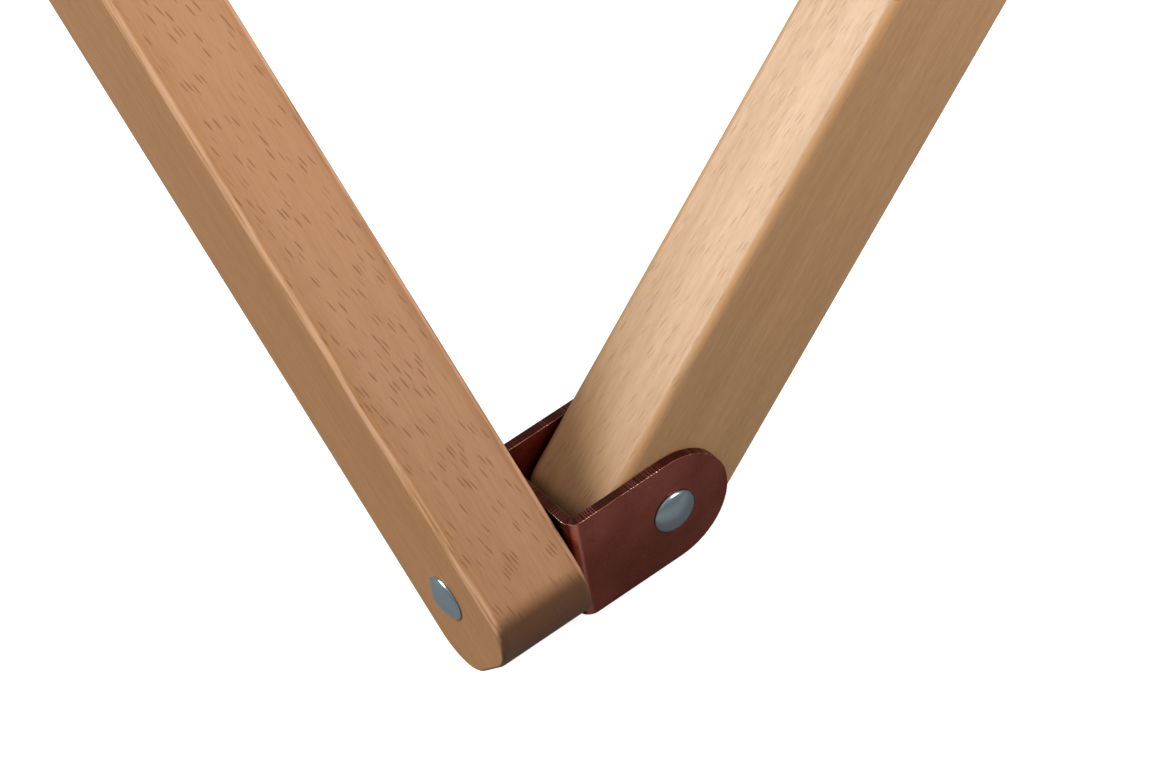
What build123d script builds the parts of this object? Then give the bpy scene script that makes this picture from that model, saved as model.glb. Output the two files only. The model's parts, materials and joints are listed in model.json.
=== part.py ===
from build123d import *
import math
import os

# Folding luggage rack: a square scissor frame of beech bars on riveted sheet-steel corner brackets.
# Millimetres, +Z up, origin on the floor under the middle of the open rack.
# Corner 1 is front left (-X, -Y), and corners 2 to 4 follow counter-clockwise seen from above.
# Side k runs from corner k to corner k + 1. Its inner bar rises from foot k to top k + 1, and its
# outer bar rises from foot k + 1 to top k.

# Bars
BAR_WIDTH = 21.0          # of the bar, along its rivets
BAR_DEPTH = 30.0          # of the bar, across its rivets
BAR_EDGE = 2.0            # rounding along the bar's long edges
END_REACH = 16.0          # from an end pivot to the end of the bar
END_ROUND = 10.0          # rounding of the bar's ends, seen along its rivets
PIVOT_SPAN = 600.0        # between the two end pivots of a bar
LEAN = 46.0               # of every bar from upright, with the rack open

# Corner brackets, bent from sheet
SHEET = 2.0               # thickness
BEND = 0.8                # inside radius of a bend
BRACKET_HEIGHT = 25.5     # of the web, and across the ears' round ends
PIVOT_TO_WEB = 23.0       # from the corner's pivots to the web's outer face
EAR_PLAY = 0.45           # between the inner bar and each ear
WEB_PLAY = 0.4            # between the outer bar and the web

# Rivets at the ends of the bars and where they cross
SHANK = 5.0               # diameter
HEAD = 9.5                # diameter of the domed heads
HEAD_RISE = 1.8           # height of the domed heads
RUNNING = 0.05            # radial clearance round every shank

# Spacers between the crossing bars
SPACER = 20.0             # diameter
SPACER_EDGE = 1.2         # chamfer of the rims
SPACER_PLAY = 0.2         # to the outer bar

# Landing discs on the top brackets, and the straps riveted under them
DISC = 40.0               # diameter
NECK = 18.0               # width of the strip from the web to the disc
END_CLEAR = 3.0           # between the strap and the highest reach of a bar's end
STRAP_WIDTH = 35.0
STRAP = 2.0               # thickness
STRAP_TO_BEND = 1.0       # between the strap's end and the bend under the disc
CROSSING_DROP = 0.3       # between the two straps in the middle of the rack
STRAP_PLAY = 0.3          # radial, round the rivets in the strap's holes
PIN_PITCH = 16.0          # between the two strap rivets of a disc, across the strap
PIN = 4.0                 # shank diameter of a strap rivet, flush with the disc
PIN_TAIL = 8.0            # diameter of its flat tail
PIN_TAIL_RISE = 1.0       # height of its flat tail

# Places that follow from the sizes above
LEAN_ANGLE = math.radians(LEAN)
HALF_SIDE = PIVOT_SPAN * math.sin(LEAN_ANGLE) / 2
RISE = PIVOT_SPAN * math.cos(LEAN_ANGLE)
ROUND_ACROSS = BAR_DEPTH / 2 - END_ROUND
ROUND_ALONG = END_REACH - END_ROUND
FOOT_PIVOT = END_ROUND + ROUND_ACROSS * math.sin(LEAN_ANGLE) + ROUND_ALONG * math.cos(LEAN_ANGLE)
TOP_PIVOT = FOOT_PIVOT + RISE
CLEVIS = BAR_WIDTH + 2 * EAR_PLAY
BRACKET_WIDTH = CLEVIS + 2 * SHEET
OUTER_OFFSET = PIVOT_TO_WEB + WEB_PLAY + BAR_WIDTH / 2
CROSSING_GAP = OUTER_OFFSET - BAR_WIDTH
BAR_REACH = END_ROUND + math.hypot(ROUND_ACROSS, ROUND_ALONG)
DISC_BASE = BAR_REACH + END_CLEAR + STRAP
STRAP_TAIL = (PIVOT_TO_WEB - SHEET - BEND - STRAP_TO_BEND) * math.sqrt(2) - STRAP_WIDTH / 2
CORNERS = range(1, 5)


def turned(part, corner):
    """The part of corner or side 1, turned about the rack's middle to another corner or side."""
    return Rot(0, 0, 90 * (corner - 1)) * part


def drill(diameter, length, clearance=RUNNING):
    """A hole for a shank, along Z and centred."""
    return Cylinder(diameter / 2 + clearance, length)


def bar():
    """A bar along +Z from its lower pivot at the origin, with its three rivet holes along Y."""
    section = RectangleRounded(BAR_DEPTH, BAR_WIDTH, BAR_EDGE)
    length = PIVOT_SPAN + 2 * END_REACH
    blank = Pos(0, 0, -END_REACH) * extrude(section, length)
    side = RectangleRounded(length, BAR_DEPTH, END_ROUND)
    upright = Pos(0, 0, PIVOT_SPAN / 2) * Rot(0, 90, 0) * Rot(90, 0, 0)
    solid = blank & upright * extrude(side, BAR_WIDTH, both=True)
    for height in (0, PIVOT_SPAN / 2, PIVOT_SPAN):
        solid -= Pos(0, 0, height) * Rot(90, 0, 0) * drill(SHANK, 2 * BAR_WIDTH)
    return solid


def rivet(grip):
    """A rivet along Y with two domed heads, centred on the stack that it grips."""
    seat = grip / 2
    crown = seat + HEAD_RISE
    sphere = ((HEAD / 2) ** 2 + HEAD_RISE ** 2) / (2 * HEAD_RISE)
    half_arc = math.asin(HEAD / 2 / sphere) / 2
    shoulder = (sphere * math.sin(half_arc), crown - sphere + sphere * math.cos(half_arc))
    lower_shoulder = (shoulder[0], -shoulder[1])
    edges = [
        ThreePointArc((HEAD / 2, seat), shoulder, (0, crown)),
        Line((0, crown), (0, -crown)),
        ThreePointArc((0, -crown), lower_shoulder, (HEAD / 2, -seat)),
        Polyline((HEAD / 2, -seat), (SHANK / 2, -seat), (SHANK / 2, seat), (HEAD / 2, seat)),
    ]
    return revolve(make_face(edges), Axis.Y)


def channel():
    """The bracket's bent sheet round corner pivots at the origin: a web on the -X side and two ears."""
    depth = PIVOT_TO_WEB + BRACKET_HEIGHT
    outside = Pos(depth / 2 - PIVOT_TO_WEB, 0) * Rectangle(depth, BRACKET_WIDTH)
    outside = fillet(outside.vertices().group_by(Axis.X)[0], BEND + SHEET)
    inside = Pos(depth / 2 - PIVOT_TO_WEB + SHEET, 0) * Rectangle(depth, CLEVIS)
    inside = fillet(inside.vertices().group_by(Axis.X)[0], BEND)
    sheet = extrude(outside - inside, BRACKET_HEIGHT / 2, both=True)
    side = Pos(-PIVOT_TO_WEB / 2, 0) * Rectangle(PIVOT_TO_WEB, BRACKET_HEIGHT) + Circle(BRACKET_HEIGHT / 2)
    return sheet & Rot(90, 0, 0) * extrude(side, BRACKET_WIDTH, both=True)


def foot_bracket():
    """A bottom corner's bracket, with holes for the clevis rivet and the swivel rivet."""
    holes = Rot(90, 0, 0) * drill(SHANK, 2 * BRACKET_WIDTH)
    holes += Pos(-PIVOT_TO_WEB, 0, 0) * Rot(0, 90, 0) * drill(SHANK, 4 * SHEET)
    return channel() - holes


def pin_places():
    """Where the two strap rivets of top corner 1 stand, across the diagonal of the rack."""
    diagonal = Rot(0, 0, 45)
    return [diagonal * Pos(0, across, DISC_BASE) for across in (-PIN_PITCH / 2, PIN_PITCH / 2)]


def top_bracket():
    """Top corner 1's bracket: the web rises on the -Y side and bends over into the landing disc."""
    web_top = BRACKET_HEIGHT / 2
    level = DISC_BASE + SHEET - web_top
    strip = Pos(-PIVOT_TO_WEB / 2, web_top + level / 2) * Rectangle(PIVOT_TO_WEB, level)
    strip = fillet(strip.vertices().group_by(Axis.X)[0].sort_by(Axis.Y)[-1], BEND + SHEET)
    hollow = Pos(-PIVOT_TO_WEB / 2 + SHEET, web_top + level / 2 - SHEET) * Rectangle(PIVOT_TO_WEB, level)
    hollow = fillet(hollow.vertices().group_by(Axis.X)[0].sort_by(Axis.Y)[-1], BEND)
    flange = Rot(90, 0, 0) * extrude(strip - hollow, NECK / 2, both=True)
    disc = Pos(0, 0, DISC_BASE + SHEET / 2) * Cylinder(DISC / 2, SHEET)
    bracket = Rot(0, 0, 90) * (foot_bracket() + flange) + disc
    for place in pin_places():
        bracket -= place * drill(PIN, 4 * SHEET)
    return bracket


def strap_pins():
    """The two flush rivets that hold a strap's end under top corner 1's disc."""
    tail = Pos(0, 0, -STRAP - PIN_TAIL_RISE / 2) * Cylinder(PIN_TAIL / 2, PIN_TAIL_RISE)
    length = SHEET + STRAP
    shank = Pos(0, 0, SHEET - length / 2) * Cylinder(PIN / 2, length)
    return Compound([place * (shank + tail) for place in pin_places()])


def strap(drop):
    """A strap along X between two opposite discs, lowered by drop in the middle of the rack."""
    disc_middle = HALF_SIDE * math.sqrt(2)
    end = disc_middle + STRAP_TAIL
    level = disc_middle - DISC / 2
    dip = STRAP_WIDTH
    route = [(-end, 0), (-level, 0), (-dip, -drop), (dip, -drop), (level, 0), (end, 0)]
    underside = [(x, z - STRAP) for x, z in reversed(route)]
    profile = make_face(Polyline(*route, *underside, close=True))
    band = Rot(90, 0, 0) * extrude(profile, STRAP_WIDTH / 2, both=True)
    for disc in (-disc_middle, disc_middle):
        for pin in (-PIN_PITCH / 2, PIN_PITCH / 2):
            band -= Pos(disc, pin, -STRAP / 2) * drill(PIN, 4 * STRAP, STRAP_PLAY)
    return Pos(0, 0, TOP_PIVOT + DISC_BASE) * band


def spacer():
    """The turned ring between two crossing bars, along Y, seated against the inner bar at +Y."""
    length = CROSSING_GAP - SPACER_PLAY
    ring = Cylinder(SPACER / 2, length) - drill(SHANK, 2 * length)
    rims = ring.edges().filter_by(GeomType.CIRCLE).group_by(SortBy.RADIUS)[-1]
    return Pos(0, SPACER_PLAY / 2, 0) * Rot(90, 0, 0) * chamfer(rims, SPACER_EDGE)


def end_rivets(grip, offset):
    """The rivets at both ends of a bar along +Z, with the middle of their grip at offset along Y."""
    return [Pos(0, offset, height) * rivet(grip) for height in (0, PIVOT_SPAN)]


def side_places():
    """Locations of side 1's inner and outer bars, each at its own lower pivot."""
    inner = Pos(-HALF_SIDE, -HALF_SIDE, FOOT_PIVOT) * Rot(0, LEAN, 0)
    outer = Pos(HALF_SIDE, -HALF_SIDE - OUTER_OFFSET, FOOT_PIVOT) * Rot(0, -LEAN, 0)
    return inner, outer


def rack():
    """Every node of the open rack, by name."""
    inner, outer = side_places()
    between_bars = -BAR_WIDTH / 2 - CROSSING_GAP / 2
    crossing = Pos(0, between_bars, PIVOT_SPAN / 2)
    web_grip = BAR_WIDTH + WEB_PLAY + SHEET
    clevis_rivets = end_rivets(BRACKET_WIDTH, 0)
    swivel_rivets = end_rivets(web_grip, web_grip / 2 - BAR_WIDTH / 2)
    crossing_rivet = crossing * rivet(2 * BAR_WIDTH + CROSSING_GAP)
    first = {
        "foot_bracket": Pos(-HALF_SIDE, -HALF_SIDE, FOOT_PIVOT) * foot_bracket(),
        "top_bracket": Pos(-HALF_SIDE, -HALF_SIDE, TOP_PIVOT) * top_bracket(),
        "strap_pins": Pos(-HALF_SIDE, -HALF_SIDE, TOP_PIVOT) * strap_pins(),
        "inner_bar": inner * bar(),
        "outer_bar": outer * bar(),
        "inner_rivets": inner * Compound([*clevis_rivets, crossing_rivet]),
        "outer_rivets": outer * Compound(swivel_rivets),
        "crossing_spacer": inner * crossing * spacer(),
    }
    nodes = {f"{name}_{k}": turned(solid, k) for name, solid in first.items() for k in CORNERS}
    nodes["strap_1"] = Rot(0, 0, 45) * strap(0)
    nodes["strap_2"] = Rot(0, 0, 135) * strap(STRAP + CROSSING_DROP)
    return nodes


os.makedirs("parts", exist_ok=True)
for name, solid in rack().items():
    export_step(solid, os.path.join("parts", f"{name}.step"))
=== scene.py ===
import json
import logging
import math
from dataclasses import dataclass
from enum import Enum
from typing import Mapping, Sequence

import bpy
from mathutils import Matrix, Vector


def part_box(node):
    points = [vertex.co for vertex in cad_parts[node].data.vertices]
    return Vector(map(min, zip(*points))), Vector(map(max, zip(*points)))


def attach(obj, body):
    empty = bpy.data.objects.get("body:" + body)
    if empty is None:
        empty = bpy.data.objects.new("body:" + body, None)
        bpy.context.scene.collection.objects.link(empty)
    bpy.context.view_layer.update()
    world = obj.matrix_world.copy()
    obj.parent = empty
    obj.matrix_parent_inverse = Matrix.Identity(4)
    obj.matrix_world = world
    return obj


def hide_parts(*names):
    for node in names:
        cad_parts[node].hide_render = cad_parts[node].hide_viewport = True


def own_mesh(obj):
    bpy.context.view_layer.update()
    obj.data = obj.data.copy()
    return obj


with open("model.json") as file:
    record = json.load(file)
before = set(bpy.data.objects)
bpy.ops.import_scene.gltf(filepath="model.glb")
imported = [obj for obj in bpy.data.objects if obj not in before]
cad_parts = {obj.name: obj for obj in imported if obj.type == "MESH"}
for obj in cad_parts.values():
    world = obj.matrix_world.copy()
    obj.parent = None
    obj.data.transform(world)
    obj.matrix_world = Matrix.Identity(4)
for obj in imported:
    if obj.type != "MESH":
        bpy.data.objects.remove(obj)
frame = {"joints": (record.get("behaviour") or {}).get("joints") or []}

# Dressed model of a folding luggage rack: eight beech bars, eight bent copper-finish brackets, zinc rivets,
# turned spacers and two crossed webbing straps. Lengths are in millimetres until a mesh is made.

LOG = logging.getLogger("luggage_rack")
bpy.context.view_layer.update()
MM = 0.001
SIDES = (1, 2, 3, 4)
PLACE = "surface_place"
FACING = "surface_facing"
WHITE = (1.0, 1.0, 1.0, 1.0)

# Sizes that several pieces share, as in the solids
BAR_WIDTH = 21.0
BAR_DEPTH = 30.0
END_REACH = 16.0
END_ROUND = 10.0
CROSSING_GAP = 12.9
SHEET = 2.0
CLEVIS = 21.9
WEB_PLAY = 0.4
DISC = 40.0
STRAP = 2.0
END_CLEAR = 3.0
DISC_BASE = END_ROUND + math.hypot(BAR_DEPTH / 2 - END_ROUND, END_REACH - END_ROUND) + END_CLEAR + STRAP
TINY = 1e-6

Point = tuple[float, float, float]
Pair = tuple[float, float]
Span = tuple[float, float]
Colour = tuple[float, float, float]
Socket = bpy.types.NodeSocket
Coat = tuple[Socket, Socket, Socket]


class Slot(Enum):
    """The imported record's material slots."""

    BEECH = "beech"
    COPPER = "bracket_copper"
    ZINC = "rivet_zinc"
    WEBBING = "webbing"


class Corner(Enum):
    """The two kinds of corner bracket."""

    FOOT = "foot"
    TOP = "top"


class Graph:
    """Adds nodes to one shader tree and links them."""

    def __init__(self, tree: bpy.types.NodeTree) -> None:
        """Keep the tree that the nodes go into."""
        self.tree = tree

    @classmethod
    def of(cls, owner: bpy.types.Material | bpy.types.World) -> "Graph":
        """An empty graph for a material or a world."""
        owner.use_nodes = True
        owner.node_tree.nodes.clear()
        return cls(owner.node_tree)

    def add(self, kind: str, inputs: dict | None = None, **settings: object) -> bpy.types.Node:
        """Add one node.

        Args:
            kind: The node's Blender type name.
            inputs: Input name or index to a socket to link, or a value to set.
            settings: Properties of the node itself.

        Returns:
            The new node.
        """
        node = self.tree.nodes.new(kind)
        for name, value in settings.items():
            setattr(node, name, value)
        for key, value in (inputs or {}).items():
            if isinstance(value, bpy.types.NodeSocket):
                self.tree.links.new(value, node.inputs[key])
            else:
                node.inputs[key].default_value = value
        return node

    def math(self, operation: str, a: Socket, b: Socket | float = 0.0) -> Socket:
        """The result of a Math node on a and b."""
        return self.add("ShaderNodeMath", {0: a, 1: b}, operation=operation).outputs[0]

    def plus(self, a: Socket, b: Socket | float) -> Socket:
        """The sum of a and b."""
        return self.math("ADD", a, b)

    def times(self, a: Socket, b: Socket | float) -> Socket:
        """The product of a and b."""
        return self.math("MULTIPLY", a, b)

    def axes(self, vector: Socket) -> Sequence[Socket]:
        """The vector's X, Y and Z."""
        return self.add("ShaderNodeSeparateXYZ", {0: vector}).outputs

    def scaled(self, vector: Socket, per_metre: Point) -> Socket:
        """The vector multiplied axis by axis, so that each axis gets its own pattern size."""
        return self.add("ShaderNodeVectorMath", {0: vector, 1: per_metre}, operation="MULTIPLY").outputs[0]

    def noise(self, place: Socket, cells: Point, detail: float = 2.0) -> Socket:
        """Soft noise, about 0.3 to 0.7, with its cells per metre along each axis."""
        inputs = {"Vector": self.scaled(place, cells), "Scale": 1.0, "Detail": detail}
        return self.add("ShaderNodeTexNoise", inputs).outputs[0]

    def ramp(self, value: Socket, limits: Span) -> Socket:
        """A smooth 0 to 1 while value goes from the first limit to the second."""
        inputs = {"Value": value, "From Min": limits[0], "From Max": limits[1]}
        return self.add("ShaderNodeMapRange", inputs, interpolation_type="SMOOTHSTEP").outputs[0]

    def span(self, value: Socket, limits: Span) -> Socket:
        """Value from 0 to 1 carried to the span from the first limit to the second."""
        inputs = {"Value": value, "To Min": limits[0], "To Max": limits[1]}
        return self.add("ShaderNodeMapRange", inputs).outputs[0]

    def blend(self, factor: Socket, a: Colour | Socket, b: Colour | Socket) -> Socket:
        """Colour a where factor is 0 and b where it is 1."""
        ends = [c if isinstance(c, bpy.types.NodeSocket) else (*c, 1.0) for c in (a, b)]
        return self.add("ShaderNodeMix", {0: factor, 6: ends[0], 7: ends[1]}, data_type="RGBA").outputs[2]

    def mix(self, factor: Socket, a: bpy.types.Node, b: bpy.types.Node) -> bpy.types.Node:
        """The shader that is a's where factor is 0 and b's where it is 1."""
        return self.add("ShaderNodeMixShader", {0: factor, 1: a.outputs[0], 2: b.outputs[0]})


class Effect(Graph):
    """A shader node group that several materials share, made at its first use.

    Cells are pattern sizes, in cells per metre along X, Y and Z of a piece. A Span holds the values at which
    a mask is 0 and 1. Pitches and reaches are in millimetres.
    """

    name: str

    @classmethod
    def on(cls, graph: Graph, place: Socket) -> Mapping[str, Socket]:
        """The group's outputs in a material's graph, fed with the place on the surface."""
        return graph.add("ShaderNodeGroup", {0: place}, node_tree=cls.group()).outputs

    @classmethod
    def group(cls) -> bpy.types.NodeTree:
        """Find or make the node group.

        Returns:
            The group's node tree.
        """
        found = bpy.data.node_groups.get(cls.name)
        if found:
            return found
        tree = bpy.data.node_groups.new(cls.name, "ShaderNodeTree")
        tree.interface.new_socket("Place", in_out="INPUT", socket_type="NodeSocketVector")
        graph = cls(tree)
        made = graph.outputs(graph.add("NodeGroupInput").outputs[0])
        for name in made:
            tree.interface.new_socket(name, in_out="OUTPUT", socket_type="NodeSocketFloat")
        graph.add("NodeGroupOutput", dict(made))
        return tree

    def outputs(self, place: Socket) -> dict[str, Socket]:
        """The group's outputs by name, from the place on the surface."""
        raise NotImplementedError

    def facing(self) -> Sequence[Socket]:
        """How far the surface faces along X, Y and Z of its piece, each from 0 to 1."""
        return self.axes(self.add("ShaderNodeAttribute", attribute_name=FACING).outputs["Vector"])

    def wave(self, along: Socket, pitch: float) -> Socket:
        """A sine of a length, with its pitch in millimetres."""
        return self.math("SINE", self.times(along, 2.0 * math.pi / (pitch * MM)))


class Grain(Effect):
    """Beech: broad tone, fine lines, the short dark ray flecks of the flat-sawn faces, a painted highlight
    along the rounded long edges and a mask of the end faces.
    """

    name: str = "beech_grain"
    broad_cells: Point = (80.0, 120.0, 4.0)
    line_cells: Point = (1100.0, 1300.0, 60.0)
    fibre_cells: Point = (2100.0, 2500.0, 380.0)
    broad_share: float = 0.4
    line_share: float = 0.3
    fibre_share: float = 0.3
    tone_span: Span = (0.32, 0.68)
    fleck_cells: Point = (1300.0, 170.0, 0.0)
    fleck_slant: float = 0.18
    fleck_growth: float = 0.16
    fleck_span: Span = (0.15, 0.0)
    fleck_chance: Span = (0.3, 1.0)
    fleck_sink: float = 0.5
    flat_sawn_facing: Span = (0.35, 0.85)
    # Painted highlight along the rounded long edges: where it lies and how the fine lines break it up.
    arris_facing: Span = (0.22, 0.48)
    arris_highlight_span: Span = (0.3, 0.6)
    # End faces: darker end grain, deepened with painted shade.
    end_facing: Span = (0.08, 0.45)

    def outputs(self, place: Socket) -> dict[str, Socket]:
        """Draw the pattern.

        Args:
            place: Position in the timber, with the grain along Z and the rays along X.

        Returns:
            The group's outputs by name.
        """
        broad = self.noise(place, self.broad_cells)
        lines = self.noise(place, self.line_cells)
        fibre = self.noise(place, self.fibre_cells)
        timber = self.axes(place)
        slant = self.plus(timber[1], self.times(timber[2], self.fleck_slant))
        sawn_face = self.add("ShaderNodeCombineXYZ", {0: slant, 1: timber[2]}).outputs[0]
        cells = self.add("ShaderNodeTexVoronoi", {
            "Vector": self.scaled(sawn_face, self.fleck_cells), "Scale": 1.0,
        }, voronoi_dimensions="2D").outputs
        chance = self.add("ShaderNodeSeparateColor", {0: cells["Color"]}).outputs[0]
        spread = self.math("SUBTRACT", cells["Distance"], self.times(chance, self.fleck_growth))
        dash = self.times(self.ramp(spread, self.fleck_span), self.ramp(chance, self.fleck_chance))
        facing = self.facing()
        fleck = self.times(dash, self.ramp(facing[0], self.flat_sawn_facing))
        # Painted highlight mask: the rounded long edges, where the surface faces both X and Y, broken up by
        # the fine lines.
        edge = self.ramp(self.times(facing[0], facing[1]), self.arris_facing)
        fine = self.plus(self.times(lines, self.line_share), self.times(fibre, self.fibre_share))
        mixed = self.plus(self.times(broad, self.broad_share), fine)
        return {
            "Tone": self.ramp(mixed, self.tone_span), "Fleck": fleck,
            "ArrisHighlight": self.times(edge, self.ramp(lines, self.arris_highlight_span)),
            "End": self.ramp(facing[2], self.end_facing),
            "Height": self.math("SUBTRACT", fibre, self.times(fleck, self.fleck_sink)),
        }


class Plating(Effect):
    """Plated metal: cloudy tarnish, fine rub marks, masks of the bends for a painted highlight and of the
    webs for painted shade, and a faintly pitted height.
    """

    name: str = "plating_wear_and_painted_light"
    cloud_cells: Point = (90.0, 90.0, 90.0)
    cloud_span: Span = (0.33, 0.68)
    rub_cells: Point = (420.0, 420.0, 3600.0)
    rub_span: Span = (0.42, 0.72)
    rub_share: float = 0.4
    pit_cells: Point = (2300.0, 2300.0, 2300.0)
    pit_share: float = 0.6
    # Bend mask for a painted highlight.
    bend_facing_x: Span = (0.2, 0.45)
    bend_facing_y: Span = (0.55, 0.8)
    # Web mask for painted shade.
    web_facing: Span = (0.6, 0.88)

    def outputs(self, place: Socket) -> dict[str, Socket]:
        """Draw the pattern.

        Args:
            place: Position on the metal.

        Returns:
            The group's outputs by name.
        """
        rub = self.ramp(self.noise(place, self.rub_cells), self.rub_span)
        pits = self.times(self.noise(place, self.pit_cells), self.pit_share)
        facing = self.facing()
        bend_x = self.ramp(facing[0], self.bend_facing_x)
        return {
            "Cloud": self.ramp(self.noise(place, self.cloud_cells), self.cloud_span), "Rub": rub,
            "Corner": self.times(bend_x, self.ramp(facing[1], self.bend_facing_y)),
            "Web": self.ramp(facing[0], self.web_facing),
            "Height": self.plus(pits, self.times(rub, self.rub_share)),
        }


class Shear(Effect):
    """Fine marks across a sheared edge, which follow the sheet's outline."""

    name: str = "shear_marks"
    wander_cells: Point = (700.0, 700.0, 700.0)
    wander_reach: float = 1.2
    shear_pitch: float = 0.62
    patch_cells: Point = (260.0, 260.0, 260.0)
    patch_detail: float = 3.0
    patch_span: Span = (0.36, 0.6)
    mark_span: Span = (0.35, 0.9)

    def outputs(self, place: Socket) -> dict[str, Socket]:
        """Draw the pattern.

        Args:
            place: Position on the sheet.

        Returns:
            The group's outputs by name.
        """
        axes = self.axes(place)
        along = self.plus(axes[0], self.plus(axes[1], axes[2]))
        wander = self.times(self.noise(place, self.wander_cells), self.wander_reach * MM)
        wave = self.wave(self.plus(along, wander), self.shear_pitch)
        raised = self.plus(self.times(wave, 0.5), 0.5)
        patch = self.ramp(self.noise(place, self.patch_cells, self.patch_detail), self.patch_span)
        marks = self.times(self.ramp(raised, self.mark_span), patch)
        return {"Marks": marks, "Height": marks}


class Weave(Effect):
    """Herringbone threads."""

    name: str = "thread_weave"
    zigzag_reach: float = 5.8
    twill_pitch: float = 2.3
    twill_share: float = 0.34
    warp_pitch: float = 1.45
    warp_share: float = 0.14
    fuzz_cells: Point = (1700.0, 1700.0, 1700.0)
    fuzz_share: float = 0.3
    rib_span: Span = (0.25, 1.0)

    def outputs(self, place: Socket) -> dict[str, Socket]:
        """Draw the pattern.

        Args:
            place: Position on the band, with X along it and Y across it.

        Returns:
            The group's outputs by name.
        """
        axes = self.axes(place)
        zigzag = self.math("PINGPONG", axes[1], self.zigzag_reach * MM)
        twill = self.wave(self.plus(axes[0], zigzag), self.twill_pitch)
        warp = self.wave(axes[1], self.warp_pitch)
        fuzz = self.noise(place, self.fuzz_cells)
        ribs = self.plus(self.times(twill, self.twill_share), self.times(warp, self.warp_share))
        height = self.plus(self.plus(ribs, 0.5), self.times(fuzz, self.fuzz_share))
        return {"Ribs": self.ramp(height, self.rib_span), "Fuzz": fuzz, "Height": height}


@dataclass(frozen=True, kw_only=True)
class Finish:
    """A procedural material on one Principled shader; subclasses say what drives it.

    Its relief is a strength and a depth in millimetres.
    """

    name: str
    roughness: Span
    relief: Pair
    metallic: float = 0.0
    gloss: float = 0.5
    sheen: float = 0.0

    def material(self) -> bpy.types.Material:
        """Find or make the finish's material.

        Returns:
            The material.
        """
        found = bpy.data.materials.get(self.name)
        if found:
            return found
        material = bpy.data.materials.new(self.name)
        graph = Graph.of(material)
        place = graph.add("ShaderNodeAttribute", attribute_name=PLACE).outputs["Vector"]
        colour, mask, height = self.coat(graph, place)
        strength, depth = self.relief
        bump = {"Height": height, "Strength": strength, "Distance": depth * MM}
        shader = graph.add("ShaderNodeBsdfPrincipled", {
            "Base Color": colour, "Roughness": graph.span(mask, self.roughness),
            "Normal": graph.add("ShaderNodeBump", bump).outputs[0], "Metallic": self.metallic,
            "Specular IOR Level": self.gloss, "Sheen Weight": self.sheen,
        })
        graph.add("ShaderNodeOutputMaterial", {"Surface": shader.outputs[0]})
        return material

    def coat(self, graph: Graph, place: Socket) -> Coat:
        """The colour, the mask of the roughness and the height of the relief."""
        raise NotImplementedError


@dataclass(frozen=True, kw_only=True)
class Beech(Finish):
    """Oiled beech with ray flecks."""

    dark: Colour
    light: Colour
    fleck: Colour
    fleck_share: float
    # Colour of the painted highlight along the rounded long edges.
    arris_highlight: Colour
    # End grain colour, darker than the timber and deepened with painted shade on the bars' ends.
    end_grain_and_shade: Colour
    end_share: float = 0.9
    roughness: Span = (0.48, 0.38)
    relief: Pair = (0.25, 0.1)

    def coat(self, graph: Graph, place: Socket) -> Coat:
        """Tone, flecks, a painted highlight on the long edges and end grain deepened with painted shade make
        the colour, the tone the sheen.

        Args:
            graph: The material's graph.
            place: Position in the timber.

        Returns:
            The colour, the roughness mask and the height.
        """
        grain = Grain.on(graph, place)
        timber = graph.blend(grain["Tone"], self.dark, self.light)
        flecked = graph.blend(graph.times(grain["Fleck"], self.fleck_share), timber, self.fleck)
        # Painted highlight along the rounded long edges.
        painted_highlight = graph.blend(grain["ArrisHighlight"], flecked, self.arris_highlight)
        # End faces: darker end grain plus painted shade.
        colour = graph.blend(graph.times(grain["End"], self.end_share), painted_highlight, self.end_grain_and_shade)
        return colour, grain["Tone"], grain["Height"]


@dataclass(frozen=True, kw_only=True)
class Plated(Finish):
    """Plated sheet or wire metal with tarnish clouds."""

    dark: Colour
    light: Colour
    metallic: float = 1.0

    def colour(self, graph: Graph, plating: Mapping[str, Socket]) -> Socket:
        """The plating's colour, from its tarnish clouds."""
        return graph.blend(plating["Cloud"], self.dark, self.light)

    def coat(self, graph: Graph, place: Socket) -> Coat:
        """Tarnish clouds make the colour, rub marks the roughness."""
        plating = Plating.on(graph, place)
        return self.colour(graph, plating), plating["Rub"], plating["Height"]


@dataclass(frozen=True, kw_only=True)
class BentPlate(Plated):
    """Plated sheet with a painted highlight on its bends and painted shade on its webs."""

    # Colour of the painted highlight on the bends.
    painted_highlight: Colour
    # Colour of the painted shade on the webs, which sit in the shadowed gap behind the bars.
    painted_web_shade: Colour
    # Share of the painted highlight on the bends and of the painted shade on the webs.
    painted_light_share: float = 0.8

    def colour(self, graph: Graph, plating: Mapping[str, Socket]) -> Socket:
        """Paint shade on the webs of the plating and a highlight on its bends.

        Args:
            graph: The material's graph.
            plating: The plating effect's outputs.

        Returns:
            The colour.
        """
        sheet = super().colour(graph, plating)
        # Painted shade on the webs.
        darkened = graph.blend(graph.times(plating["Web"], self.painted_light_share), sheet, self.painted_web_shade)
        # Painted highlight on the bends.
        return graph.blend(graph.times(plating["Corner"], self.painted_light_share), darkened, self.painted_highlight)


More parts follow.
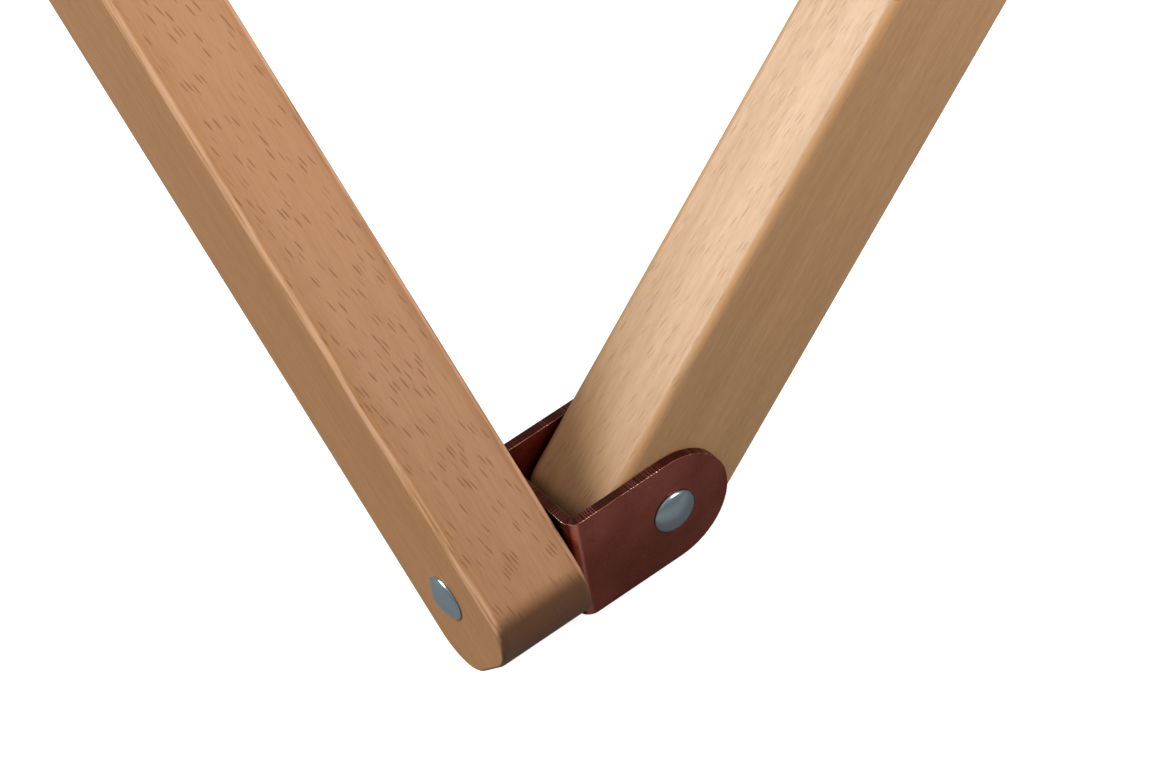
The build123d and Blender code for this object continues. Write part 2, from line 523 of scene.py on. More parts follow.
@dataclass(frozen=True, kw_only=True)
class Sheared(Finish):
    """The cut edge of plated sheet: dull metal with bright shear marks, which on the bevelled edges are near
    white as painted glints.
    """

    dull: Colour
    bright: Colour
    cloud_share: Span = (0.5, 1.0)
    metallic: float = 1.0
    roughness: Span = (0.4, 0.2)
    relief: Pair = (0.5, 0.08)

    def coat(self, graph: Graph, place: Socket) -> Coat:
        """Shear marks make the colour, gloss and relief, over the plating's clouds.

        Args:
            graph: The material's graph.
            place: Position on the sheet.

        Returns:
            The colour, the roughness mask and the height.
        """
        shear = Shear.on(graph, place)
        clouds = Plating.on(graph, place)["Cloud"]
        share = graph.times(shear["Marks"], graph.span(clouds, self.cloud_share))
        return graph.blend(share, self.dull, self.bright), share, shear["Height"]


@dataclass(frozen=True, kw_only=True)
class Thread(Finish):
    """Woven or sewn thread."""

    dark: Colour
    light: Colour
    roughness: Span = (0.7, 0.95)
    gloss: float = 0.2
    sheen: float = 0.25

    def coat(self, graph: Graph, place: Socket) -> Coat:
        """The weave makes the colour, roughness and relief."""
        weave = Weave.on(graph, place)
        return graph.blend(weave["Ribs"], self.dark, self.light), weave["Fuzz"], weave["Height"]


# Each beech gets a lighter colour along its rounded long edges, a painted highlight.
PALE_BEECH = Beech(
    name="beech_pale", dark=(0.48, 0.278, 0.132), light=(0.59, 0.358, 0.176),
    fleck=(0.30, 0.140, 0.060), fleck_share=0.4, arris_highlight=(0.58, 0.320, 0.140),
    end_grain_and_shade=(0.25, 0.125, 0.065), gloss=0.55,
)
# The rosy beech's end colour is nearly as dark as the shaded ends of the outer bars: painted shade over
# darker end grain.
ROSY_BEECH = Beech(
    name="beech_rosy", dark=(0.41, 0.198, 0.076), light=(0.49, 0.244, 0.097),
    fleck=(0.25, 0.090, 0.024), fleck_share=0.75, arris_highlight=(0.70, 0.420, 0.250),
    end_grain_and_shade=(0.13, 0.060, 0.031), gloss=0.28,
)
# The copper gets a painted highlight on its bends and painted shade on its webs.
COPPER = BentPlate(
    name="copper_sheet", dark=(0.29, 0.078, 0.052), light=(0.38, 0.112, 0.078), roughness=(0.25, 0.28),
    relief=(0.2, 0.0008), painted_highlight=(0.72, 0.300, 0.230), painted_web_shade=(0.06, 0.014, 0.009),
)
COPPER_RIM = Sheared(name="copper_rim", dull=(0.10, 0.027, 0.019), bright=(0.26, 0.085, 0.062))
# Painted glints: near-white shear marks on the bevelled edges stand for highlights.
COPPER_ARRIS_GLINT = Sheared(name="copper_arris_glint", dull=(0.30, 0.095, 0.068), bright=(1.0, 0.740, 0.640))
ZINC = Plated(
    name="zinc_rivet", dark=(0.36, 0.470, 0.530), light=(0.42, 0.530, 0.590), roughness=(0.20, 0.25),
    relief=(0.2, 0.0004),
)
WEBBING = Thread(
    name="webbing_band", dark=(0.030, 0.021, 0.016), light=(0.120, 0.086, 0.066), relief=(0.7, 0.5),
)
STITCH = Thread(
    name="stitch_thread", dark=(0.060, 0.044, 0.034), light=(0.190, 0.145, 0.112), relief=(0.7, 0.15),
)


def arc(steps: int, sweep: float = math.pi / 2) -> list[float]:
    """Angles from 0 to sweep in even steps."""
    return [sweep * i / steps for i in range(steps + 1)]


def across_bar(along: float, offset: float) -> Matrix:
    """Place of a turned part in a bar's frame, with its axis along Y."""
    return Matrix.Translation((0, offset, along)) @ Matrix.Rotation(math.pi / 2, 4, "X")


def linked(name: str, data: bpy.types.ID) -> bpy.types.Object:
    """A new object in the scene."""
    made = bpy.data.objects.new(name, data)
    bpy.context.scene.collection.objects.link(made)
    return made


@dataclass(frozen=True)
class PatternShift:
    """Offsets of a sub-assembly's patterns, in metres, so that no two sides look alike."""

    start: Point
    step: Point

    def at(self, side: int) -> Point:
        """The offset on one side of the rack."""
        return tuple(start + step * side for start, step in zip(self.start, self.step))


class MeshDraft:
    """Vertices and faces of a piece in millimetres, in the piece's own frame."""

    def __init__(self) -> None:
        """Start with nothing."""
        self.points: list[Point] = []
        self.faces: list[Sequence[int]] = []
        self.slots: list[int] = []

    def point(self, x: float, y: float, z: float) -> int:
        """Add a vertex and return its index."""
        self.points.append((x, y, z))
        return len(self.points) - 1

    def face(self, indices: Sequence[int], slot: int = 0) -> None:
        """Add a face.

        Args:
            indices: Its vertices in order; repeated ones collapse.
            slot: Its material slot.
        """
        corners = list(dict.fromkeys(indices))
        if len(corners) > 2:
            self.faces.append(corners)
            self.slots.append(slot)

    def ring(self, a: Sequence[int], b: Sequence[int], slot: int = 0) -> None:
        """Join two closed loops with faces.

        Args:
            a: The vertices of one loop.
            b: As many vertices of the other.
            slot: The faces' material slot.
        """
        for i in range(len(a)):
            j = (i + 1) % len(a)
            self.face((a[i], a[j], b[j], b[i]), slot)

    def loft(self, loops: Sequence[Sequence[int]], slot: int = 0) -> None:
        """Join closed loops in order and fill the first and the last one.

        Args:
            loops: The vertices of each loop.
            slot: The faces' material slot.
        """
        for a, b in zip(loops, loops[1:]):
            self.ring(a, b, slot)
        self.face(list(reversed(loops[0])), slot)
        self.face(loops[-1], slot)

    def turned(self, profile: Sequence[Pair], where: Matrix, segments: int) -> None:
        """Turn an open profile of radius and height about Z, then place it.

        Args:
            profile: Radius and height pairs; a zero radius closes the end.
            where: Place of the turned shape in the piece's frame, in millimetres.
            segments: Corners of each circle.
        """
        loops = []
        for radius, height in profile:
            if radius == 0:
                tip = self.point(*(where @ Vector((0, 0, height))))
                loops.append([tip] * segments)
                continue
            angles = [2 * math.pi * i / segments for i in range(segments)]
            corners = [where @ Vector((radius * math.cos(a), radius * math.sin(a), height)) for a in angles]
            loops.append([self.point(*corner) for corner in corners])
        for a, b in zip(loops, loops[1:]):
            self.ring(a, b)

    def piece(self, name: str, where: Matrix, finishes: Sequence[Finish], shift: Point) -> bpy.types.Object:
        """Make the Blender object.

        Args:
            name: The piece's name.
            where: Its place in the row frame, in metres.
            finishes: One finish for each material slot.
            shift: Offset of its patterns, in metres, so that no two pieces look alike.

        Returns:
            The object, linked to the scene, with smooth faces.
        """
        mesh = bpy.data.meshes.new(name)
        mesh.from_pydata([tuple(MM * c for c in p) for p in self.points], [], self.faces)
        mesh.polygons.foreach_set("use_smooth", [True] * len(mesh.polygons))
        mesh.polygons.foreach_set("material_index", self.slots)
        place = mesh.attributes.new(PLACE, "FLOAT_VECTOR", "POINT")
        place.data.foreach_set("vector", [MM * c + s for p in self.points for c, s in zip(p, shift)])
        normals = [abs(c) for corner in mesh.vertex_normals for c in corner.vector]
        facing = mesh.attributes.new(FACING, "FLOAT_VECTOR", "POINT")
        facing.data.foreach_set("vector", normals)
        mesh.transform(where)
        for finish in finishes:
            mesh.materials.append(finish.material())
        return linked(name, mesh)


def settle(piece: bpy.types.Object, body: str, slot: Slot, *nodes: str) -> None:
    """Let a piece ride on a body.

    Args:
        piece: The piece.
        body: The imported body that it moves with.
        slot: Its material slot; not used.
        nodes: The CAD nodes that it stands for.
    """
    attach(piece, body)
    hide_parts(*nodes)
    LOG.info("%s: %d faces, rides on %s", piece.name, len(piece.data.polygons), body)


@dataclass(frozen=True)
class Rig:
    """The rack's corner pivots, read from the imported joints, and the places that follow from them."""

    foot: Vector
    far_top: Vector
    outer_foot: Vector

    @classmethod
    def from_frame(cls) -> "Rig":
        """Read the pivots of side 1."""
        pivots = {joint["name"]: Vector(joint["pos_m"]) for joint in frame["joints"]}
        return cls(pivots["fold"], pivots["inner_1_top"], pivots["outer_1_foot"])

    @property
    def span(self) -> float:
        """Distance between a bar's end pivots, in millimetres."""
        return (self.far_top - self.foot).length / MM

    @property
    def lean(self) -> float:
        """The bars' angle from upright, in radians."""
        run = self.far_top - self.foot
        return math.atan2(run.x, run.z)

    def turn(self, side: int) -> Matrix:
        """The turn that carries side 1 to another side."""
        return Matrix.Rotation(math.radians(90 * (side - 1)), 4, "Z")

    def inner(self, side: int) -> Matrix:
        """Place of the bar in the clevis, from its foot pivot along +Z."""
        return self.turn(side) @ Matrix.Translation(self.foot) @ Matrix.Rotation(self.lean, 4, "Y")

    def outer(self, side: int) -> Matrix:
        """Place of the bar outside the webs, from its foot pivot along +Z."""
        return self.turn(side) @ Matrix.Translation(self.outer_foot) @ Matrix.Rotation(-self.lean, 4, "Y")

    def corner(self, side: int, kind: Corner) -> Matrix:
        """Place of a corner bracket: its web stands on the local -X side.

        Args:
            side: The side that starts at the corner.
            kind: Whether the bracket is a foot or a top.

        Returns:
            The bracket's place in the row frame, in metres.
        """
        if kind is Corner.FOOT:
            return self.turn(side) @ Matrix.Translation(self.foot)
        top = Vector((self.foot.x, self.foot.y, self.far_top.z))
        return self.turn(side) @ Matrix.Translation(top) @ Matrix.Rotation(math.pi / 2, 4, "Z")


@dataclass(frozen=True)
class Bars:
    """The eight beech bars, with rounded long edges and ends, drawn along +Z with the rivets along Y."""

    rig: Rig
    edge: float = 2.0
    rim: float = 0.7
    corner: Pair = (END_REACH, END_ROUND)
    eased_corner: Pair = (14.0, 13.0)
    edge_steps: int = 6
    rim_steps: int = 3
    end_steps: int = 10
    digits: int = 6
    pattern: PatternShift = PatternShift((0.0, 0.0, 0.0), (0.37, 0.29, 1.7))

    def inset(self, y: float, radius: float) -> float:
        """How far a rounding of this radius draws a side in at height y across the bar."""
        over = max(0.0, abs(y) - (BAR_WIDTH / 2 - radius))
        return radius - math.sqrt(max(0.0, radius * radius - over * over))

    def levels(self) -> list[float]:
        """Heights across the bar at which its outline is drawn.

        Returns:
            The heights in rising order, close together where the bar is rounded.
        """
        heights = set()
        for radius, steps in ((self.edge, self.edge_steps), (self.rim, self.rim_steps)):
            for angle in arc(steps):
                heights.add(round(BAR_WIDTH / 2 - radius * (1 - math.sin(angle)), self.digits))
        rows = sorted(heights)
        return [-y for y in reversed(rows)] + rows

    def outline(self, draft: MeshDraft, y: float, under: Pair) -> list[int]:
        """One loop of the bar's outline, seen along its rivets.

        Args:
            draft: The bar's mesh.
            y: Height across the bar.
            under: Reach and rounding of the corners on the bar's underside.

        Returns:
            The loop's vertices.
        """
        loop = []
        for quarter in range(4):
            reach, rounding = under if quarter % 2 else self.corner
            across = BAR_DEPTH / 2 - rounding
            along = reach - rounding
            half = rounding - self.inset(y, self.edge)
            end = rounding - self.inset(y, self.rim)
            x_sign = -1 if quarter in (0, 3) else 1
            top = quarter in (2, 3)
            for i in range(self.end_steps + 1):
                angle = math.pi / 2 * (i / self.end_steps + quarter % 2)
                x = x_sign * (across + half * abs(math.cos(angle)))
                z = along + end * abs(math.sin(angle))
                loop.append(draft.point(x, y, self.rig.span + z if top else -z))
        return loop

    def build(self) -> None:
        """Make and dress the bars of all sides."""
        for side in SIDES:
            for kind, where, finish, under in (
                ("inner", self.rig.inner(side), PALE_BEECH, self.eased_corner),
                ("outer", self.rig.outer(side), ROSY_BEECH, self.corner),
            ):
                draft = MeshDraft()
                draft.loft([self.outline(draft, y, under) for y in self.levels()][::-1])
                name = f"{kind}_bar_{side}_timber"
                piece = draft.piece(name, where, [finish], self.pattern.at(side))
                piece.modifiers.new("faces", "WEIGHTED_NORMAL").keep_sharp = True
                settle(piece, f"{kind}_{side}", Slot.BEECH, f"{kind}_bar_{side}")


@dataclass(frozen=True)
class Rivets:
    """Domed zinc rivets: at the clevis and crossing on inner bars, at the webs on outer bars."""

    rig: Rig
    bracket_width: float = CLEVIS + 2 * SHEET
    web_stack: float = SHEET + WEB_PLAY
    head: float = 9.5
    rise: float = 1.8
    lip: float = 0.25
    under_rise: float = 0.1
    under_ease: float = 0.12
    shank: float = 5.0
    crown_steps: int = 8
    segments: int = 40
    pattern: PatternShift = PatternShift((0.0, 0.07, 0.05), (0.11, 0.0, 0.0))

    def profile(self, grip: float) -> list[Pair]:
        """Half of the rivet's outline, from crown to crown.

        Args:
            grip: Thickness of the stack that it holds.

        Returns:
            Radius and height pairs.
        """
        radius = self.head / 2
        cap = self.rise - self.lip
        sphere = (radius * radius + cap * cap) / (2 * cap)
        widest = math.asin(radius / sphere)
        seat = grip / 2
        crown = []
        for angle in arc(self.crown_steps, widest):
            crown.append((sphere * math.sin(angle), seat + self.rise - sphere + sphere * math.cos(angle)))
        crown += [(radius, seat + self.under_rise), (radius - self.under_ease, seat), (self.shank / 2, seat)]
        return crown + [(r, -z) for r, z in reversed(crown)]

    def build(self) -> None:
        """Make and dress the rivets of all sides."""
        crossing_grip = 2 * BAR_WIDTH + CROSSING_GAP
        crossing_offset = -(BAR_WIDTH + CROSSING_GAP) / 2
        web_grip = BAR_WIDTH + self.web_stack
        ends = (0.0, self.rig.span)
        for side in SIDES:
            inner, outer = MeshDraft(), MeshDraft()
            for along in ends:
                inner.turned(self.profile(self.bracket_width), across_bar(along, 0), self.segments)
                outer.turned(self.profile(web_grip), across_bar(along, self.web_stack / 2), self.segments)
            crossing = across_bar(self.rig.span / 2, crossing_offset)
            inner.turned(self.profile(crossing_grip), crossing, self.segments)
            for kind, draft, where in (
                ("inner", inner, self.rig.inner(side)),
                ("outer", outer, self.rig.outer(side)),
            ):
                piece = draft.piece(f"{kind}_rivets_{side}_zinc", where, [ZINC], self.pattern.at(side))
                settle(piece, f"{kind}_{side}", Slot.ZINC, f"{kind}_rivets_{side}")


@dataclass(frozen=True)
class Spacers:
    """Turned beech rings between crossing bars."""

    rig: Rig
    play: float = 0.2
    radius: float = 10.0
    bore: float = 2.6
    ease: float = 1.2
    ease_steps: int = 6
    segments: int = 56
    pattern: PatternShift = PatternShift((0.9, 0.0, 0.6), (0.0, 0.21, 0.0))

    def profile(self) -> list[Pair]:
        """The ring's outline, from bore to bore, with eased rims.

        Returns:
            Radius and height pairs.
        """
        half = (CROSSING_GAP - self.play) / 2
        rim = []
        for angle in arc(self.ease_steps):
            radius = self.radius - self.ease * (1 - math.sin(angle))
            rim.append((radius, half - self.ease * (1 - math.cos(angle))))
        return [(self.bore, half)] + rim + [(r, -z) for r, z in reversed(rim)] + [(self.bore, -half)]

    def build(self) -> None:
        """Make and dress the spacers of all sides."""
        offset = -(BAR_WIDTH + CROSSING_GAP - self.play) / 2
        seat = across_bar(self.rig.span / 2, offset)
        for side in SIDES:
            draft = MeshDraft()
            draft.turned(self.profile(), seat, self.segments)
            name = f"spacer_{side}_timber"
            piece = draft.piece(name, self.rig.inner(side), [PALE_BEECH], self.pattern.at(side))
            piece.modifiers.new("faces", "WEIGHTED_NORMAL")
            settle(piece, f"inner_{side}", Slot.BEECH, f"crossing_spacer_{side}")


@dataclass(frozen=True)
class Brackets:
    """Sheet brackets, bent from the middle surface of the sheet, with sheared edges whose bevels carry
    painted glints.
    """

    rig: Rig
    bend: float = 0.8
    height: float = 25.5
    pivot_to_web: float = 23.0
    neck: float = 18.0
    disc_sink: float = 0.12
    edge_break: float = 0.36
    edge_segments: int = 2
    edge_angle: float = math.radians(50)
    bend_steps: int = 7
    end_steps: int = 14
    pattern: PatternShift = PatternShift((0.0, 0.31, 0.17), (0.13, 0.0, 0.0))

    @property
    def middle_bend(self) -> float:
        """Bend radius of the sheet's middle surface."""
        return self.bend + SHEET / 2

    def ear(self) -> list[Point]:
        """Half of the strip, from an ear's tip to the neck's edge on the web.

        Returns:
            X, y and half height of each station.
        """
        half = self.height / 2
        y = (CLEVIS + SHEET) / 2
        bend_x = -self.pivot_to_web + SHEET / 2 + self.middle_bend
        strip = []
        for angle in reversed(arc(self.end_steps)):
            strip.append((half * math.sin(angle), y, half * math.cos(angle)))
        for angle in arc(self.bend_steps):
            x = bend_x - self.middle_bend * math.sin(angle)
            strip.append((x, y - self.middle_bend * (1 - math.cos(angle)), half))
        strip.append((strip[-1][0], self.neck / 2, half))
        return strip

    def landing(self, draft: MeshDraft, left: int, right: int) -> None:
        """The neck that rises from the web and bends over into the disc.

        Args:
            draft: The bracket's mesh.
            left: Vertex of the web's top edge at the neck's -Y side.
            right: The same at its +Y side.
        """
        half = self.neck / 2
        level = DISC_BASE + SHEET / 2 - self.disc_sink
        web = -self.pivot_to_web + SHEET / 2
        rows = [(left, right)]
        for angle in arc(self.bend_steps):
            x = web + self.middle_bend * (1 - math.cos(angle))
            z = level - self.middle_bend * (1 - math.sin(angle))
            rows.append((draft.point(x, -half, z), draft.point(x, half, z)))
        for a, b in zip(rows, rows[1:]):
            draft.face((a[0], b[0], b[1], a[1]))
        radius = DISC / 2
        start = math.pi + math.asin(half / radius)
        sweep = 2 * (math.pi - math.asin(half / radius))
        circle = []
        for turn in arc(4 * self.end_steps, sweep):
            x, y = radius * math.cos(start + turn), radius * math.sin(start + turn)
            circle.append(draft.point(x, y, level))
        draft.face([rows[-1][1], rows[-1][0]] + circle)

    def draft(self, kind: Corner) -> MeshDraft:
        """Draw the sheet's middle surface.

        Args:
            kind: Whether the bracket is a foot or a top.

        Returns:
            The bracket's mesh.
        """
        draft = MeshDraft()
        ear = self.ear()
        stations = [(x, -y, h) for x, y, h in ear] + list(reversed(ear))
        rows = []
        for x, y, half in stations:
            if half < TINY:
                rows.append((draft.point(x, y, 0),) * 2)
            else:
                rows.append((draft.point(x, y, -half), draft.point(x, y, half)))
        for a, b in zip(rows, rows[1:]):
            draft.face((a[0], a[1], b[1], b[0]))
        if kind is Corner.TOP:
            self.landing(draft, rows[len(ear) - 1][1], rows[len(ear)][1])
        return draft

    def build(self) -> None:
        """Make and dress the brackets of all corners."""
        finishes = [COPPER, COPPER_RIM, COPPER_ARRIS_GLINT]
        for side in SIDES:
            for kind in Corner:
                where = self.rig.corner(side, kind)
                name = f"{kind.value}_bracket_{side}"
                piece = self.draft(kind).piece(f"{name}_sheet", where, finishes, self.pattern.at(side))
                solid = piece.modifiers.new("sheet", "SOLIDIFY")
                solid.thickness = SHEET * MM
                solid.offset = 0.0
                solid.use_even_offset = True
                solid.material_offset_rim = finishes.index(COPPER_RIM)
                edges = piece.modifiers.new("edges", "BEVEL")
                edges.width = self.edge_break * MM
                edges.segments = self.edge_segments
                edges.limit_method = "ANGLE"
                edges.angle_limit = self.edge_angle
                # The bevelled edges get the copper's painted glints.
                edges.material = finishes.index(COPPER_ARRIS_GLINT)
                edges.harden_normals = True
                settle(piece, f"{kind.value}_{side}", Slot.COPPER, name)


@dataclass(frozen=True)
class StrapPins:
    """Flush rivets that hold a strap's end under its disc."""

    rig: Rig
    pitch: float = 16.0
    radius: float = 2.0
    tail: float = 4.0
    tail_rise: float = 1.0
    head_ease: float = 0.35
    head_sink: float = 0.2
    tail_ease: float = 0.35
    segments: int = 28
    pattern: PatternShift = PatternShift((0.4, 0.0, 0.3), (0.0, 0.1, 0.0))

    def profile(self) -> list[Pair]:
        """The pin's outline from its flush head to its clenched tail.

        Returns:
            Radius and height pairs.
        """
        top = DISC_BASE + SHEET
        seat = DISC_BASE - STRAP
        low = seat - self.tail_rise
        return [
            (0, top), (self.radius - self.head_ease, top), (self.radius, top - self.head_sink),
            (self.radius, seat), (self.tail, seat),
            (self.tail, low + self.tail_ease), (self.tail - self.tail_ease, low), (0, low),
        ]

    def build(self) -> None:
        """Make and dress the pins of all discs."""
        for side in SIDES:
            draft = MeshDraft()
            for sign in (-1, 1):
                across = sign * self.pitch / 2 * math.sqrt(0.5)
                draft.turned(self.profile(), Matrix.Translation((across, across, 0)), self.segments)
            where = self.rig.corner(side, Corner.TOP)
            piece = draft.piece(f"strap_pins_{side}_zinc", where, [ZINC], self.pattern.at(side))
            piece.modifiers.new("faces", "WEIGHTED_NORMAL")
            settle(piece, f"top_{side}", Slot.ZINC, f"strap_pins_{side}")


@dataclass(frozen=True)
class Straps:
    """Two crossed webbing bands with turned and sewn ends."""

    rig: Rig
    width: float = 35.0
    thick: float = 1.6
    hem: float = 58.0
    hem_thick: float = 1.1
    hem_set_back: float = 0.6
    hem_gap: float = 0.02
    drop: float = 2.3
    clear: float = 0.25
    folded_lean: float = math.radians(6.5)
    step: float = 6.0
    flat_steps: int = 6
    selvedge_angles: tuple[float, ...] = (0.8, 0.0, -0.8)
    seam_margin: float = 4.0
    seam_from_hem: float = 16.0
    seam_to_disc: float = 1.5
    stitch: float = 3.0
    stitch_pitch: float = 4.4
    stitch_thick: float = 0.32
    stitch_bed: float = 0.25
    stitch_sides: int = 6
    stitch_swell: tuple[Pair, ...] = ((-0.5, 0.3), (-0.35, 0.9), (0.0, 1.0), (0.35, 0.9), (0.5, 0.3))
    stitch_slot: int = 1
    pattern_shift: Point = (0.0, 0.02, 0.0)

    @property
    def reach(self) -> float:
        """Distance from a strap's middle to its discs' middle."""
        return self.rig.far_top.x * math.sqrt(2) / MM

    def level(self, x: float, drop: float) -> float:
        """Height of a band's top face.

        Args:
            x: Place along the strap.
            drop: How far the strap is lowered at the crossing.

        Returns:
            The height, from the strap's level at the discs.
        """
        flat, rise = self.width, self.reach - DISC / 2
        share = min(1.0, max(0.0, (abs(x) - flat) / (rise - flat)))
        return -drop * (1 - share * share * (3 - 2 * share))

    def section(self, thick: float) -> list[Pair]:
        """A band's section: flat faces and round selvedges.

        Args:
            thick: The band's thickness.

        Returns:
            Place across the band and height, from the top face's -Y side.
        """
        round_end = thick / 2
        flat = self.width / 2 - round_end
        top = [(flat * (2 * i / self.flat_steps - 1), 0.0) for i in range(self.flat_steps + 1)]
        right = []
        for angle in self.selvedge_angles:
            right.append((flat + round_end * math.cos(angle), -round_end + round_end * math.sin(angle)))
        bottom = [(-y, -thick) for y, _ in top]
        left = [(-y, -thick - z) for y, z in right]
        return top + right + bottom + left

    def band(self, draft: MeshDraft, start: float, end: float,
             thick: float, under: float, drop: float) -> None:
        """A closed length of band.

        Args:
            draft: The strap's mesh.
            start: Where the band starts along the strap.
            end: Where it ends.
            thick: Its thickness.
            under: How far its top face lies below the strap's.
            drop: How far the strap is lowered at the crossing.
        """
        count = max(2, round((end - start) / self.step))
        loops = []
        for i in range(count + 1):
            x = start + (end - start) * i / count
            level = self.level(x, drop) - under
            loops.append([draft.point(x, y, level + z) for y, z in self.section(thick)])
        draft.loft(loops)

    def seam(self, draft: MeshDraft, a: Pair, b: Pair, level: float) -> None:
        """A row of stitches on a flat stretch.

        Args:
            draft: The strap's mesh.
            a: Where the row starts.
            b: Where it ends.
            level: Height of the stitches' middle.
        """
        run = Vector((b[0] - a[0], b[1] - a[1]))
        count = max(1, int(run.length / self.stitch_pitch))
        heading = run.normalized()
        side = Vector((-heading.y, heading.x)) * self.stitch_thick
        for i in range(count):
            middle = Vector(a) + run * ((i + 0.5) / count)
            loops = []
            for share, swell in self.stitch_swell:
                at = middle + heading * self.stitch * share
                loop = []
                for k in range(self.stitch_sides):
                    angle = 2 * math.pi / self.stitch_sides * k
                    spot = at + side * swell * math.cos(angle)
                    rise = self.stitch_thick * swell * math.sin(angle)
                    loop.append(draft.point(spot.x, spot.y, level + rise))
                loops.append(loop)
            draft.loft(loops, self.stitch_slot)

    def sew(self, draft: MeshDraft) -> None:
        """The box seams that hold both turned ends.

        Args:
            draft: The strap's mesh.
        """
        half = self.width / 2 - self.seam_margin
        near = self.reach - self.hem + self.seam_from_hem
        far = self.reach - DISC / 2 - self.seam_to_disc
        for sign in (-1, 1):
            a, b = sign * near, sign * far
            for start, end in (
                ((a, -half), (a, half)), ((a, -half), (b, -half)), ((a, half), (b, half)),
                ((a, -half), (b, half)), ((a, half), (b, -half)),
            ):
                self.seam(draft, start, end, -self.stitch_bed)
                self.seam(draft, start, end, self.stitch_bed - self.thick - self.hem_thick)

    def build(self) -> None:
        """Make and dress both straps."""
        for number, drop in ((1, 0.0), (2, self.drop)):
            heading = math.radians(90 * number - 45)
            _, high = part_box(f"strap_{number}")
            level = high.z - self.clear * MM
            end = high.x * math.sqrt(2) / MM - self.width / 2
            draft = MeshDraft()
            self.band(draft, -end, end, self.thick, 0.0, drop)
            hem_start, hem_end = self.reach - self.hem, end - self.hem_set_back
            for start, stop in ((-hem_end, -hem_start), (hem_start, hem_end)):
                self.band(draft, start, stop, self.hem_thick, self.thick + self.hem_gap, drop)
            self.sew(draft)
            where = Matrix.Translation((0, 0, level)) @ Matrix.Rotation(heading, 4, "Z")
            piece = draft.piece(f"strap_{number}_webbing", where, [WEBBING, STITCH], self.pattern_shift)
            settle(piece, f"top_{number}", Slot.WEBBING, f"strap_{number}")
            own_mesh(piece)


@dataclass(frozen=True)
class Lamp:
    """A large round light that stays out of sight, with its power in watts and its places in metres."""

    name: str
    where: Point
    aim: Point
    power: float
    size: float
    spread: float = math.pi
    tint: Colour = (1.0, 1.0, 1.0)

    def build(self) -> None:
        """Hang the light and aim it."""
        data = bpy.data.lights.new(self.name, "AREA")
        data.shape = "DISK"
        data.size = self.size
        data.energy = self.power
        data.spread = self.spread
        data.color = self.tint
        light = linked(self.name, data)
        light.visible_camera = False
        light.location = self.where
        light.rotation_euler = (Vector(self.aim) - light.location).to_track_quat("-Z", "Y").to_euler()


LAMPS = (
    Lamp("key", (-1.40, 0.75, 1.20), (-0.22, -0.22, 0.12), power=34.0, size=1.1),
    Lamp("fill", (0.10, -0.60, 0.50), (-0.14, 0.02, 0.16), power=0.76, size=0.45,
         spread=math.radians(64), tint=(1.0, 0.91, 0.89)),
)


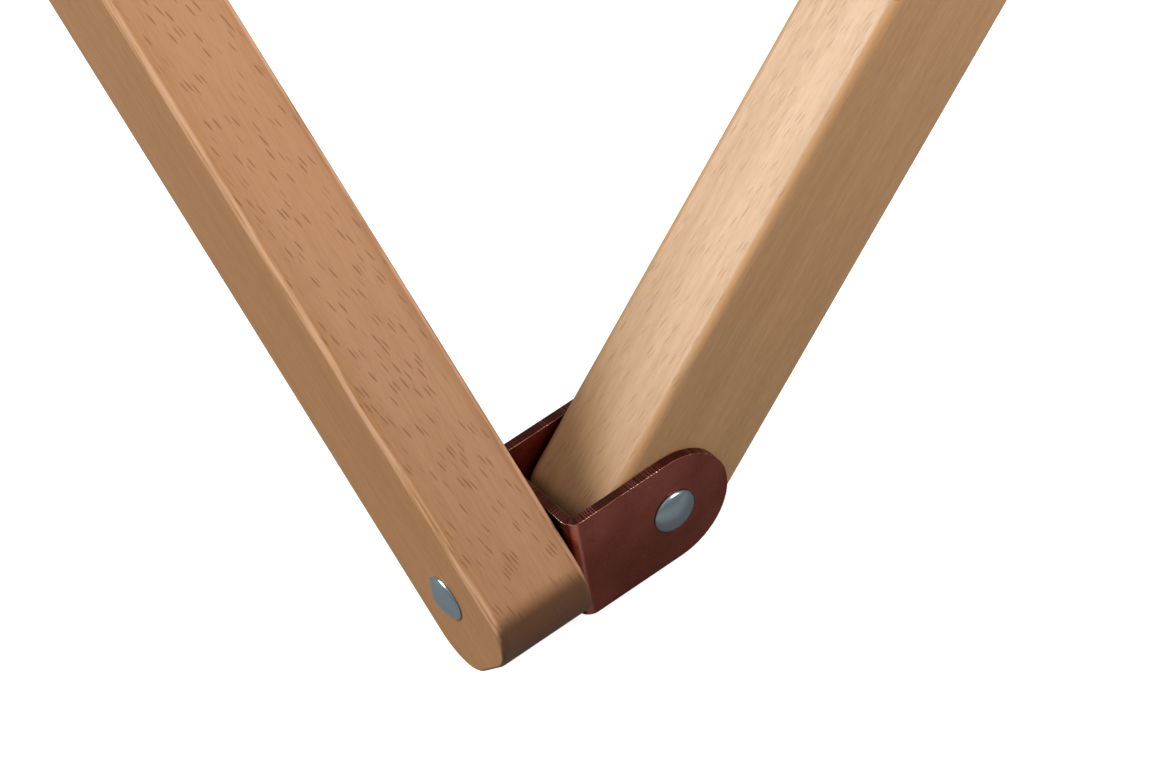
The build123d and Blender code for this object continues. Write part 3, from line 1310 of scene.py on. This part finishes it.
@dataclass(frozen=True)
class Studio:
    """Pale floor, soft light from above and the photograph's camera."""

    rig: Rig
    focal_px: float = 4500.0
    image_width: float = 1160.0
    sensor: float = 36.0
    clip_start: float = 0.01
    from_foot: Point = (-296.327, -499.6315, 625.1931)
    right: Point = (0.78526616, -0.60582095, -0.12782031)
    up: Point = (0.51203716, 0.51935207, 0.68417204)
    back: Point = (-0.34810201, -0.60270590, 0.71803244)
    floor_size: float = 12.0
    floor_seen: float = 0.5
    floor_glow: float = 0.86
    floor_mirrored: float = 0.34
    floor_lighting: float = 0.05
    dome_heights: Span = (-0.1, 1.0)
    dome_low: Colour = (0.26, 0.26, 0.26)
    dome_high: Colour = (0.50, 0.50, 0.50)

    def camera(self) -> None:
        """The camera that the photograph was fitted to."""
        data = bpy.data.cameras.new("photo_camera")
        data.sensor_width = self.sensor
        data.sensor_fit = "HORIZONTAL"
        data.lens = self.focal_px / self.image_width * self.sensor
        data.clip_start = self.clip_start
        camera = linked("photo_camera", data)
        axes = Matrix((self.right, self.up, self.back)).transposed().to_4x4()
        camera.matrix_world = Matrix.Translation(self.rig.foot + Vector(self.from_foot) * MM) @ axes
        bpy.context.scene.camera = camera

    def matt(self, graph: Graph, grey: float) -> bpy.types.Node:
        """A plain diffuse shader."""
        return graph.add("ShaderNodeBsdfDiffuse", {"Color": (grey, grey, grey, 1.0)})

    def floor(self) -> None:
        """A plain pale floor, which mirrors as a grey one and throws little light back up."""
        half = self.floor_size / 2
        mesh = bpy.data.meshes.new("floor")
        corners = [(-half, -half, 0), (half, -half, 0), (half, half, 0), (-half, half, 0)]
        mesh.from_pydata(corners, [], [range(len(corners))])
        material = bpy.data.materials.new("floor_pale")
        graph = Graph.of(material)
        seen = self.matt(graph, self.floor_seen)
        glow = graph.add("ShaderNodeEmission", {"Color": WHITE, "Strength": self.floor_glow})
        pale = graph.add("ShaderNodeAddShader", {0: seen.outputs[0], 1: glow.outputs[0]})
        dim = self.matt(graph, self.floor_lighting)
        mirrored = self.matt(graph, self.floor_mirrored)
        ray = graph.add("ShaderNodeLightPath").outputs
        lower = graph.mix(ray["Is Glossy Ray"], dim, mirrored)
        mixed = graph.mix(ray["Is Camera Ray"], lower, pale)
        graph.add("ShaderNodeOutputMaterial", {"Surface": mixed.outputs[0]})
        mesh.materials.append(material)
        floor = linked("floor", mesh)

    def sky(self) -> None:
        """A soft dome, bright overhead and dim at the horizon, seen by the camera as pale."""
        world = bpy.data.worlds.new("studio")
        graph = Graph.of(world)
        direction = graph.add("ShaderNodeTexCoord").outputs["Generated"]
        height = graph.axes(direction)[2]
        dome = graph.blend(graph.ramp(height, self.dome_heights), self.dome_low, self.dome_high)
        light = graph.add("ShaderNodeBackground", {"Color": dome, "Strength": 1.0})
        pale = graph.add("ShaderNodeBackground", {"Color": WHITE, "Strength": 1.0})
        ray = graph.add("ShaderNodeLightPath").outputs
        mixed = graph.mix(ray["Is Camera Ray"], light, pale)
        graph.add("ShaderNodeOutputWorld", {"Surface": mixed.outputs[0]})
        bpy.context.scene.world = world

    def build(self) -> None:
        """Set the whole stage."""
        bpy.context.scene.view_settings.view_transform = "Standard"
        self.camera()
        self.floor()
        self.sky()
        for lamp in LAMPS:
            lamp.build()


def main() -> None:
    """Build every sub-assembly and the stage."""
    logging.basicConfig(level=logging.INFO, format="%(name)s: %(message)s")
    rig = Rig.from_frame()
    for assembly in (Bars, Rivets, Spacers, Brackets, StrapPins, Straps, Studio):
        assembly(rig).build()
        LOG.info("%s done", assembly.__name__)


if __name__ == "__main__":
    main()
